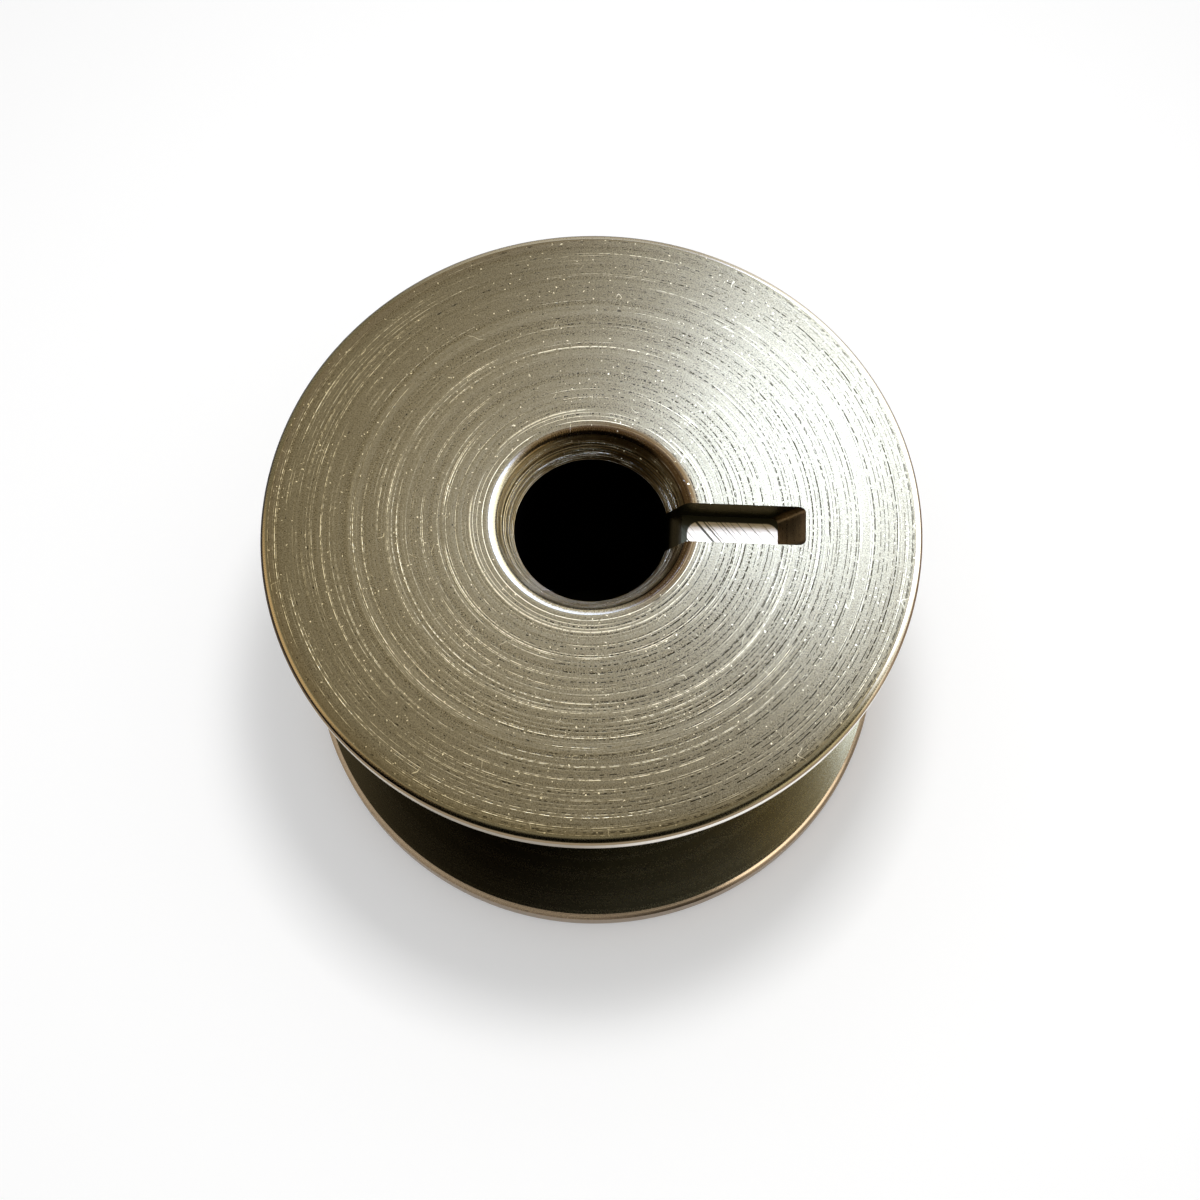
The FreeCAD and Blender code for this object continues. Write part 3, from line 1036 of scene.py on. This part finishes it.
@dataclass
class Bobbin:
    """The turned bobbin with its bore and its blind drive slot. Lengths are millimetres."""

    rim_radius: float
    height: float
    bore_radius: float
    lower_flange: float = 1.35
    upper_flange: float = 0.95
    core_radius: float = 8.4
    core_root: float = 0.4
    mouth_radius: float = 4.0
    mouth_depth: float = 1.15
    mouth_round: float = 0.4
    rim_round: float = 0.28
    rim_bevel: float = 0.22
    slot_half_width: float = 0.85
    slot_depth: float = 1.3
    slot_reach: float = 8.75
    slot_end_run: float = 1.05
    slot_floor_round: float = 0.65
    slot_corner: float = 0.25
    columns: int = 360
    corner_columns: int = 6
    end_columns: int = 10
    wall_rows: int = 6
    cone_rows: int = 8
    bore_rows: int = 14

    @property
    def lip(self) -> float:
        """Height of the sharp lip where the upper countersink meets the bore."""
        return self.height - self.mouth_depth

    @property
    def floor(self) -> float:
        """Height of the slot's floor."""
        return self.height - self.slot_depth

    @property
    def ledge(self) -> float:
        """Height at which the slot's rolled-over floor meets the bore at the side walls."""
        return self.floor - self.slot_floor_round

    @property
    def corner_length(self) -> float:
        """Length along X, on the upper face, of the round between a side wall and the leaning end wall."""
        return self.slot_corner * math.hypot(self.slot_end_run, self.slot_depth) / self.slot_depth

    @property
    def corner_start(self) -> float:
        """X at which a side wall of the slot ends and the corner round starts, on the upper face."""
        return self.slot_reach - self.corner_length

    @property
    def end_ring(self) -> float:
        """Radius of the ring on the upper face that passes through the start of the corner rounds."""
        return math.hypot(self.corner_start, self.slot_half_width)

    def slot_angle(self, radius: np.ndarray) -> np.ndarray:
        """Angle from +X to the slot's side wall at a radius."""
        return np.arcsin(self.slot_half_width / radius)

    def open_ring(self, radius: np.ndarray) -> np.ndarray:
        """Angles of the columns round an open ring, from one side wall of the slot round to the other.

        Args:
            radius: radius of each ring.

        Returns:
            Angles, one row per ring.
        """
        edge = self.slot_angle(np.asarray(radius, float))[..., None]
        return edge + np.linspace(0, 1, self.columns + 1) * (FULL_TURN - 2 * edge)

    def end_outline(self) -> np.ndarray:
        """Outline of the slot's outer end on the upper face, from -Y to +Y.

        Each corner is a quarter of an ellipse, because the round's axis leans with the end wall.

        Returns:
            Array of points (x, y).
        """
        inner = self.slot_half_width - self.slot_corner
        turn = np.linspace(0, math.pi / 2, self.corner_columns + 1)
        x = self.corner_start + self.corner_length * np.sin(turn)
        y = inner + self.slot_corner * np.cos(turn)
        across = np.linspace(-inner, inner, self.end_columns + 1)[1:-1]
        xs = np.concatenate((x, np.full_like(across, self.slot_reach), x[::-1]))
        ys = np.concatenate((-y, across, y[::-1]))
        return np.stack([xs, ys], 1)

    def outer_stations(self) -> list[Station]:
        """List the profile's corners from the upper face out and round to the lower lip of the bore.

        Returns:
            The corners in order.
        """
        top, rim, bevel = self.height, self.rim_radius, self.rim_bevel
        lower, upper = self.lower_flange, self.height - self.upper_flange
        return [
            Station(self.end_ring, top, Finish.FACE, 8),
            Station(rim, top, Finish.RIM, 2, self.rim_round, Finish.EDGE, Finish.OXIDE),
            Station(rim, upper + bevel, Finish.BEVEL, 3),
            Station(rim - bevel, upper, Finish.WINDING, 8),
            Station(self.core_radius, upper, Finish.WINDING, 12, self.core_root, Finish.WINDING),
            Station(self.core_radius, lower, Finish.WINDING, 8, self.core_root, Finish.WINDING),
            Station(rim - bevel, lower, Finish.BEVEL, 3),
            Station(rim, lower - bevel, Finish.SKIRT, 3),
            Station(rim, 0, Finish.FACE, 12, self.rim_round, Finish.FOOT),
            Station(self.mouth_radius, 0, Finish.MOUTH, self.cone_rows, self.mouth_round, Finish.LIP),
            Station(self.bore_radius, self.mouth_depth, Finish.BORE),
        ]

    def inner_stations(self) -> list[Station]:
        """List the profile's corners from the end ring in over the upper mouth to the slot's ledge.

        Returns:
            The corners in order.
        """
        top = self.height
        return [
            Station(self.end_ring, top, Finish.FACE, 10),
            Station(self.mouth_radius, top, Finish.MOUTH, self.cone_rows, self.mouth_round, Finish.LIP),
            Station(self.bore_radius, self.lip, Finish.BORE, self.wall_rows),
            Station(self.bore_radius, self.ledge, Finish.BORE),
        ]

    def ring_angles(self) -> np.ndarray:
        """Angles of all columns of a full ring: the open ring first, then the slot's end, closed.

        Returns:
            The angles, rising by a full turn.
        """
        outline = self.end_outline()
        across = np.arctan2(outline[:, 1], outline[:, 0]) + FULL_TURN
        return np.concatenate((self.open_ring(self.end_ring), across[1:]))

    def outer_patch(self) -> Patch:
        """Draw the outside, from the slot's end ring over rims, core and lower face up into the bore.

        Each row is the profile point (radius, height) turned to every column's angle. Rows on the upper
        face slide from the slot's outline to the rim in straight lines. In the bore, columns slide from
        their angle at the lower lip to an even spread across the slot, and end on its rolled floor.

        Returns:
            The patch, closed round the axis.
        """
        profile, finishes = turned_profile(self.outer_stations())
        angle = self.ring_angles()
        face_rows = self.outer_stations()[0].steps
        radius = np.repeat(profile[:, :1], len(angle), 1)
        ring = np.full(len(angle), self.end_ring)
        outline = self.end_outline()
        ring[self.columns:] = np.hypot(outline[:, 0], outline[:, 1])
        share = (profile[:face_rows, :1] - self.end_ring) / (profile[face_rows, 0] - self.end_ring)
        radius[:face_rows] = ring + share * (profile[face_rows, 0] - ring)
        points = on_rings(radius, angle, profile[:, 1:])
        rows = np.linspace(0, 1, self.bore_rows + 1)[1:, None]
        top_angle, top_height = self.bore_rim()
        turned = angle + rows * (top_angle - angle)
        lifted = self.mouth_depth + rows * (top_height - self.mouth_depth)
        bore = on_rings(self.bore_radius, turned, lifted)
        length = way_along(profile)
        depth = length[-1] + rows[:, 0] * (self.ledge - self.mouth_depth)
        return Patch(
            np.concatenate((points, bore)),
            ((angle - angle[0]) / FULL_TURN)[None, :],
            np.concatenate((length, depth))[:, None],
            np.concatenate((finishes, np.full(self.bore_rows, Finish.BORE))),
        )

    def bore_rim(self) -> tuple[np.ndarray, np.ndarray]:
        """Where the bore's wall ends at the top of each column below the slot.

        Beside the slot it is the ledge's height. Across the slot it is where the rolled floor, a cylinder
        along Y, meets the bore.

        Returns:
            Angle and height of each column's upper end.
        """
        across = np.linspace(-1, 1, len(self.end_outline())) * self.slot_half_width
        x = np.sqrt(self.bore_radius ** 2 - across ** 2)
        behind = np.arcsin(across / self.bore_radius) + FULL_TURN
        angle = np.concatenate((self.open_ring(self.bore_radius), behind[1:]))
        height = np.concatenate((np.full(self.columns + 1, self.ledge), self.rolled_height(x)[1:]))
        return angle, height

    def rolled_height(self, x: np.ndarray) -> np.ndarray:
        """Height of the slot's floor at an X: flat, and a quarter circle down where it rolls over.

        Args:
            x: distance from the axis along the slot.

        Returns:
            Height at each X.
        """
        centre = self.bore_at_wall + self.slot_floor_round
        over = np.clip(centre - x, 0, self.slot_floor_round)
        return self.ledge + np.sqrt(self.slot_floor_round ** 2 - over ** 2)

    @property
    def bore_at_wall(self) -> float:
        """X at which the bore meets the slot's side walls."""
        return math.sqrt(self.bore_radius ** 2 - self.slot_half_width ** 2)

    def inner_patch(self) -> Patch:
        """Draw the inner part of the upper face, the upper mouth and the top of the bore beside the slot.

        Each row is an open ring whose two ends lie on the slot's side walls.

        Returns:
            The patch, open at the slot.
        """
        profile, finishes = turned_profile(self.inner_stations())
        points = on_rings(profile[:, :1], self.open_ring(profile[:, 0]), profile[:, 1:])
        around = self.ring_angles()[:self.columns + 1]
        map_u = ((around - around[0]) / FULL_TURN)[None, :]
        return Patch(points, map_u, -way_along(profile)[:, None], finishes)

    def wall_lines(self) -> tuple[np.ndarray, np.ndarray]:
        """Upper and lower edge of a side wall of the slot, seen along Y, from the end ring in to the bore.

        The upper edge follows the face and the mouth. The lower edge follows the flat floor as far as the
        mouth's round goes, and the rollover below the cone.

        Returns:
            Arrays of points (x, z) of the upper and the lower edge.
        """
        profile, _ = turned_profile(self.inner_stations())
        profile = profile[:len(profile) - self.wall_rows]
        upper_x = np.sqrt(profile[:, 0] ** 2 - self.slot_half_width ** 2)
        flat = len(profile) - self.cone_rows
        roll_start = self.bore_at_wall + self.slot_floor_round
        floor_start = self.corner_start - self.slot_end_run
        share = (upper_x[:flat] - upper_x[flat - 1]) / (upper_x[0] - upper_x[flat - 1])
        turn = np.linspace(0, math.pi / 2, self.cone_rows + 1)[1:]
        lower_x = np.concatenate((
            roll_start + share * (floor_start - roll_start),
            roll_start - self.slot_floor_round * np.sin(turn),
        ))
        lower = np.stack([lower_x, self.rolled_height(lower_x)], 1)
        return np.stack([upper_x, profile[:, 1]], 1), lower

    def wall_patch(self, side: int) -> Patch:
        """Draw a side wall of the slot as straight lines from its lower to its upper edge.

        Args:
            side: +1 for the wall at +Y, -1 for the one at -Y.

        Returns:
            The patch.
        """
        upper, lower = self.wall_lines()
        share = run_shares(self.wall_rows)[:, None, None]
        section = lower + share * (upper - lower)
        y = np.full(section.shape[:2], side * self.slot_half_width)
        points = np.stack([section[..., 0], y, section[..., 1]], -1)
        return Patch(points, points[..., 0], points[..., 2], np.full(self.wall_rows, Finish.WALL))

    def end_patch(self) -> Patch:
        """Draw the slot's leaning end wall with its corner rounds, from the floor up to the face.

        Returns:
            The patch.
        """
        outline = self.end_outline()
        share = run_shares(self.wall_rows)[:, None]
        x = outline[:, 0] - self.slot_end_run * (1 - share)
        y = np.repeat(outline[None, :, 1], len(share), 0)
        z = np.repeat(self.floor + self.slot_depth * share, len(outline), 1)
        points = np.stack([x, y, z], -1)
        return Patch(points, y, z, np.full(self.wall_rows, Finish.END))

    def floor_patch(self) -> Patch:
        """Draw the slot's floor, from the foot of the end wall in to the rollover and the bore.

        Rows run across the slot. They bend from the foot's outline to straight lines, and over the rollover
        they stretch to end on the bore's wall.

        Returns:
            The patch.
        """
        _, lower = self.wall_lines()
        outline = self.end_outline() - (self.slot_end_run, 0)
        across = np.linspace(-1, 1, len(outline)) * self.slot_half_width
        start = self.bore_at_wall + self.slot_floor_round
        bend = np.clip((lower[:, :1] - start) / (lower[0, 0] - start), 0, 1)
        x = lower[:, :1] + bend * (outline[:, 0] - lower[0, 0])
        y = across + bend * (outline[:, 1] - across)
        roll = np.clip((start - lower[:, :1]) / self.slot_floor_round, 0, 1)
        bore_x = np.sqrt(self.bore_radius ** 2 - across ** 2)
        x = np.where(roll > 0, start - roll * (start - bore_x), x)
        points = np.stack([x, y, self.rolled_height(x)], -1)
        bands = np.where(roll[1:, 0] > 0, Finish.ROLL, Finish.FLOOR)
        return Patch(points, x, y, bands)

    def patches(self) -> list[Patch]:
        """Draw all patches and lay them out on one bake map.

        The turned surface fills the lower part of the map, with the turn along U and the profile along V.
        The slot's patches stand side by side above it.

        Returns:
            The patches with their places on the map.
        """
        turned = [self.outer_patch(), self.inner_patch()]
        low = turned[1].map_v.min()
        high = turned[0].map_v.max()
        for patch in turned:
            patch.map_u = MAP_MARGIN + TURNED_WIDTH * patch.map_u
            patch.map_v = MAP_MARGIN + TURNED_HEIGHT * (patch.map_v - low) / (high - low)
        cut = [self.floor_patch(), self.wall_patch(1), self.wall_patch(-1), self.end_patch()]
        for place, patch in enumerate(cut):
            share_u = (patch.map_u - patch.map_u.min()) / np.ptp(patch.map_u)
            share_v = (patch.map_v - patch.map_v.min()) / np.ptp(patch.map_v)
            patch.map_u = place / len(cut) + MAP_MARGIN + CUT_WIDTH * share_u
            patch.map_v = CUT_FOOT + CUT_HEIGHT * share_v
        return turned + cut

    def build(self) -> bpy.types.Object:
        """Join the patches into one closed mesh, dress it and put it in the scene.

        Returns:
            The bobbin's object.
        """
        patches = self.patches()
        starts = np.cumsum([0] + [p.points.shape[0] * p.points.shape[1] for p in patches[:-1]])
        points = np.vstack([p.points.reshape(-1, 3) for p in patches]) * MM
        quads = np.vstack([p.quads() + s for p, s in zip(patches, starts)])
        mesh = bpy.data.meshes.new("turned_bobbin")
        mesh.from_pydata(points.tolist(), [], quads.tolist())
        layer = mesh.uv_layers.new(name="OFBake")
        corners = np.vstack([p.corner_map() for p in patches])
        layer.uv.foreach_set("vector", corners.astype(np.float32).ravel())
        finishes = np.concatenate([p.face_finishes() for p in patches]).astype(np.int32)
        for finish in Finish:
            mesh.materials.append(FINISHES[finish].build())
        mesh.polygons.foreach_set("material_index", finishes)
        self.close(mesh)
        mesh.shade_smooth()
        mesh.set_sharp_from_angle(angle=SHARP_ANGLE)
        return put_in_scene("turned_bobbin", mesh)

    def close(self, mesh: bpy.types.Mesh) -> None:
        """Weld the patches along their shared edges and turn all faces outwards.

        Args:
            mesh: the mesh of all patches.
        """
        work = bmesh.new()
        work.from_mesh(mesh)
        bmesh.ops.remove_doubles(work, verts=work.verts, dist=WELD)
        bmesh.ops.recalc_face_normals(work, faces=work.faces)
        open_edges = sum(1 for edge in work.edges if len(edge.link_faces) != 2)
        LOG.info("bobbin: %d faces, %d open edges", len(work.faces), open_edges)
        work.to_mesh(mesh)
        work.free()


@dataclass(frozen=True)
class Viewpoint:
    """Camera of the photograph, measured from the middle of the upper face. Millimetres and degrees."""

    side: float = 0.783
    back: float = 28.895
    rise: float = 66.002
    pitch: float = 69.007
    yaw: float = -0.974
    roll: float = -1.354
    turn: float = 2.8
    lens: float = 53.008
    sensor: float = 36.0

    def place(self, top: float) -> bpy.types.Object:
        """Set up the camera.

        Args:
            top: height of the upper face.

        Returns:
            The camera.
        """
        pitch, yaw, roll = (math.radians(a) for a in (self.pitch, self.yaw, self.roll))
        forward = Vector((math.sin(yaw) * math.cos(pitch), math.cos(yaw) * math.cos(pitch), -math.sin(pitch)))
        right = forward.cross(Vector((0, 0, 1))).normalized()
        up = right.cross(forward)
        tilted = math.cos(roll) * right + math.sin(roll) * up
        upright = math.cos(roll) * up - math.sin(roll) * right
        stance = Matrix((tilted, upright, -forward)).transposed().to_4x4()
        stance.translation = Vector((self.side, -self.back, self.rise)) * MM
        data = bpy.data.cameras.new("photo_camera")
        data.lens = self.lens
        data.sensor_width = self.sensor
        data.clip_start = 1 * MM
        camera = put_in_scene("photo_camera", data)
        lift = Matrix.Translation((0, 0, top * MM))
        camera.matrix_world = lift @ Matrix.Rotation(math.radians(self.turn), 4, "Z") @ stance
        bpy.context.scene.camera = camera
        return camera


class Reach(Enum):
    """What a lamp lights: the metal's reflections or the floor."""

    METAL = "metal"
    FLOOR = "floor"


@dataclass(frozen=True)
class Lamp:
    """A soft rectangular lamp that looks at the bobbin. Millimetres and watts."""

    name: str
    place: Triple
    target: Triple
    width: float
    depth: float
    power: float
    reach: Reach
    colour: str = "#ffffff"

    def hang(self) -> bpy.types.Object:
        """Hang the lamp and aim it.

        Returns:
            The lamp.
        """
        data = bpy.data.lights.new(self.name, "AREA")
        data.shape = "RECTANGLE"
        data.size = self.width * MM
        data.size_y = self.depth * MM
        data.energy = self.power
        data.color = linear(self.colour)[:3]
        lamp = put_in_scene(self.name, data)
        away = Vector(self.place) - Vector(self.target)
        turn = away.to_track_quat("Z", "Y").to_matrix().to_4x4()
        lamp.matrix_world = Matrix.Translation(Vector(self.place) * MM) @ turn
        lamp.visible_diffuse = self.reach is Reach.FLOOR
        lamp.visible_glossy = self.reach is Reach.METAL
        return lamp


@dataclass(frozen=True)
class Studio:
    """Pale floor, a dark pad of painted shade under the bore, white surroundings, soft lamps and dark cards
    that the metal mirrors. Millimetres.

    A card is given by the degrees round the axis at which it starts and ends, and the height of its foot.
    """

    floor_half: float = 600.0
    floor_gap: float = 0.005
    floor_colour: str = "#f2f2f2"
    floor_lift: float = 0.14
    pad_radius: float = 12.0
    pad_hole: float = 0.01
    pad_columns: int = 48
    shade_pad_colour: str = "#0b0a08"
    card_radius: float = 62.0
    cards: tuple[Triple, ...] = ((206.0, 310.0, 12.0), (310.0, 342.0, 38.0))
    card_top: float = 130.0
    card_columns: int = 32
    card_colour: str = "#14110d"
    sky_level: float = 0.70
    lamps: tuple[Lamp, ...] = (
        Lamp("window_light", (14.2, 23.1, 56), (7, 0, 16), 18, 20, 0.029, Reach.METAL, "#93b0ff"),
        Lamp("window_glow", (21.9, 52.5, 117), (7, 0, 16), 60, 60, 0.019, Reach.METAL, "#93b0ff"),
        Lamp("tall_window", (64, 47, 72), (0, 0, 16), 100, 110, 0.088, Reach.METAL, "#dfe9ff"),
        Lamp("side_light", (64, -40, 18), (0, 0, 8), 56, 30, 0.018, Reach.METAL),
        Lamp("overhead_light", (5, 7, 88), (0, 0, 0), 15, 15, 0.030, Reach.FLOOR),
    )

    def build(self) -> None:
        """Lay the floor and the painted shade pad, light the surroundings, hang the lamps and stand the
        cards.
        """
        self.lay_floor()
        self.lay_shade_pad()
        for card in self.cards:
            self.stand_card(*card)
        self.light_surroundings()
        for lamp in self.lamps:
            lamp.hang()

    def stage_piece(self, name: str, points: np.ndarray, colour: str) -> bpy.types.Object:
        """Put a matt sheet on the stage.

        Args:
            name: name of the sheet.
            points: grid of points in millimetres, rows by columns by 3.
            colour: sRGB hex colour.

        Returns:
            The sheet.
        """
        quads = grid_quads(*points.shape[:2])[:, ::-1]
        mesh = bpy.data.meshes.new(name)
        mesh.from_pydata((points.reshape(-1, 3) * MM).tolist(), [], quads.tolist())
        material = new_material(name)
        tree = material.node_tree
        plug(tree, tree.nodes["Principled BSDF"], {
            "Base Color": linear(colour), "Roughness": 1.0, "Specular IOR Level": 0.0,
        })
        mesh.materials.append(material)
        sheet = put_in_scene(name, mesh)
        return sheet

    def lay_floor(self) -> bpy.types.Object:
        """Lay a flat matt floor just under the bobbin, lifted a little to white for the camera.

        Returns:
            The floor.
        """
        span = np.array([-self.floor_half, self.floor_half])
        x, y = np.meshgrid(span, span)
        points = np.stack([x, y, np.full_like(x, -self.floor_gap)], -1)
        floor = self.stage_piece("matt_white_card", points, self.floor_colour)
        tree = floor.data.materials[0].node_tree
        direct = add_node(tree, "LightPath", None, "Is Camera Ray")
        mirrored = direct.node.outputs["Is Glossy Ray"]
        seen = add_node(tree, "Math", {0: direct, 1: mirrored}, operation="MAXIMUM")
        lift = add_node(tree, "Math", {0: seen, 1: self.floor_lift}, operation="MULTIPLY")
        plug(tree, tree.nodes["Principled BSDF"], {"Emission Color": WHITE, "Emission Strength": lift})
        return floor

    def lay_shade_pad(self) -> bpy.types.Object:
        """Lay a round dark pad of painted shade under the bobbin, so that its bore looks down into the dark.

        Returns:
            The pad.
        """
        radius = np.array([[self.pad_hole], [self.pad_radius]])
        points = on_rings(radius, np.linspace(0, FULL_TURN, self.pad_columns + 1), -self.floor_gap / 2)
        return self.stage_piece("painted_shade_pad", points, self.shade_pad_colour)

    def stand_card(self, first: float, last: float, foot: float) -> bpy.types.Object:
        """Stand a curved dark card behind the camera, seen only as a reflection.

        Args:
            first: angle round the axis at which the card starts, in degrees.
            last: angle at which it ends.
            foot: height of its lower edge.

        Returns:
            The card.
        """
        angle = np.radians(np.linspace(first, last, self.card_columns + 1))
        points = on_rings(self.card_radius, angle, np.array([[foot], [self.card_top]]))
        card = self.stage_piece("dark_card", points, self.card_colour)
        card.visible_camera = False
        card.visible_diffuse = False
        card.visible_shadow = False
        return card

    def light_surroundings(self) -> None:
        """Surround the scene with even light: white to the camera and in reflections, softer as light."""
        world = bpy.data.worlds.new("white_room")
        world.use_nodes = True
        tree = world.node_tree
        seen = add_node(tree, "LightPath", None, "Is Camera Ray")
        rays = seen.node.outputs
        for ray in ("Is Glossy Ray", "Is Transmission Ray"):
            seen = add_node(tree, "Math", {0: seen, 1: rays[ray]}, operation="MAXIMUM")
        level = add_node(tree, "MapRange", {"Value": seen, "To Min": self.sky_level, "To Max": 1.0})
        plug(tree, tree.nodes["Background"], {"Strength": level, "Color": WHITE})
        bpy.context.scene.world = world


def bobbin_from_frame(frame: dict) -> Bobbin:
    """Take the bobbin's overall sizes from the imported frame.


    Returns:
        The bobbin with its sizes.
    """
    low, high = (np.array(corner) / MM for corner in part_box(NODE))
    bore = next(mount for mount in frame["record"]["mounts"] if mount["kind"] == "bore")
    width, _, height = (high - low).tolist()
    return Bobbin(rim_radius=width / 2, height=height, bore_radius=bore["dims"]["r_mm"])


def main() -> None:
    """Build the bobbin, the camera and the studio."""
    logging.basicConfig(level=logging.INFO, format="%(name)s: %(message)s")
    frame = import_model()
    bpy.context.scene.view_settings.view_transform = "Standard"
    bobbin = bobbin_from_frame(frame)
    piece = bobbin.build()
    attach(piece, BODY)
    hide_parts(NODE)
    LOG.info("built %s", piece.name)
    Viewpoint().place(bobbin.height)
    Studio().build()


if __name__ == "__main__":
    main()
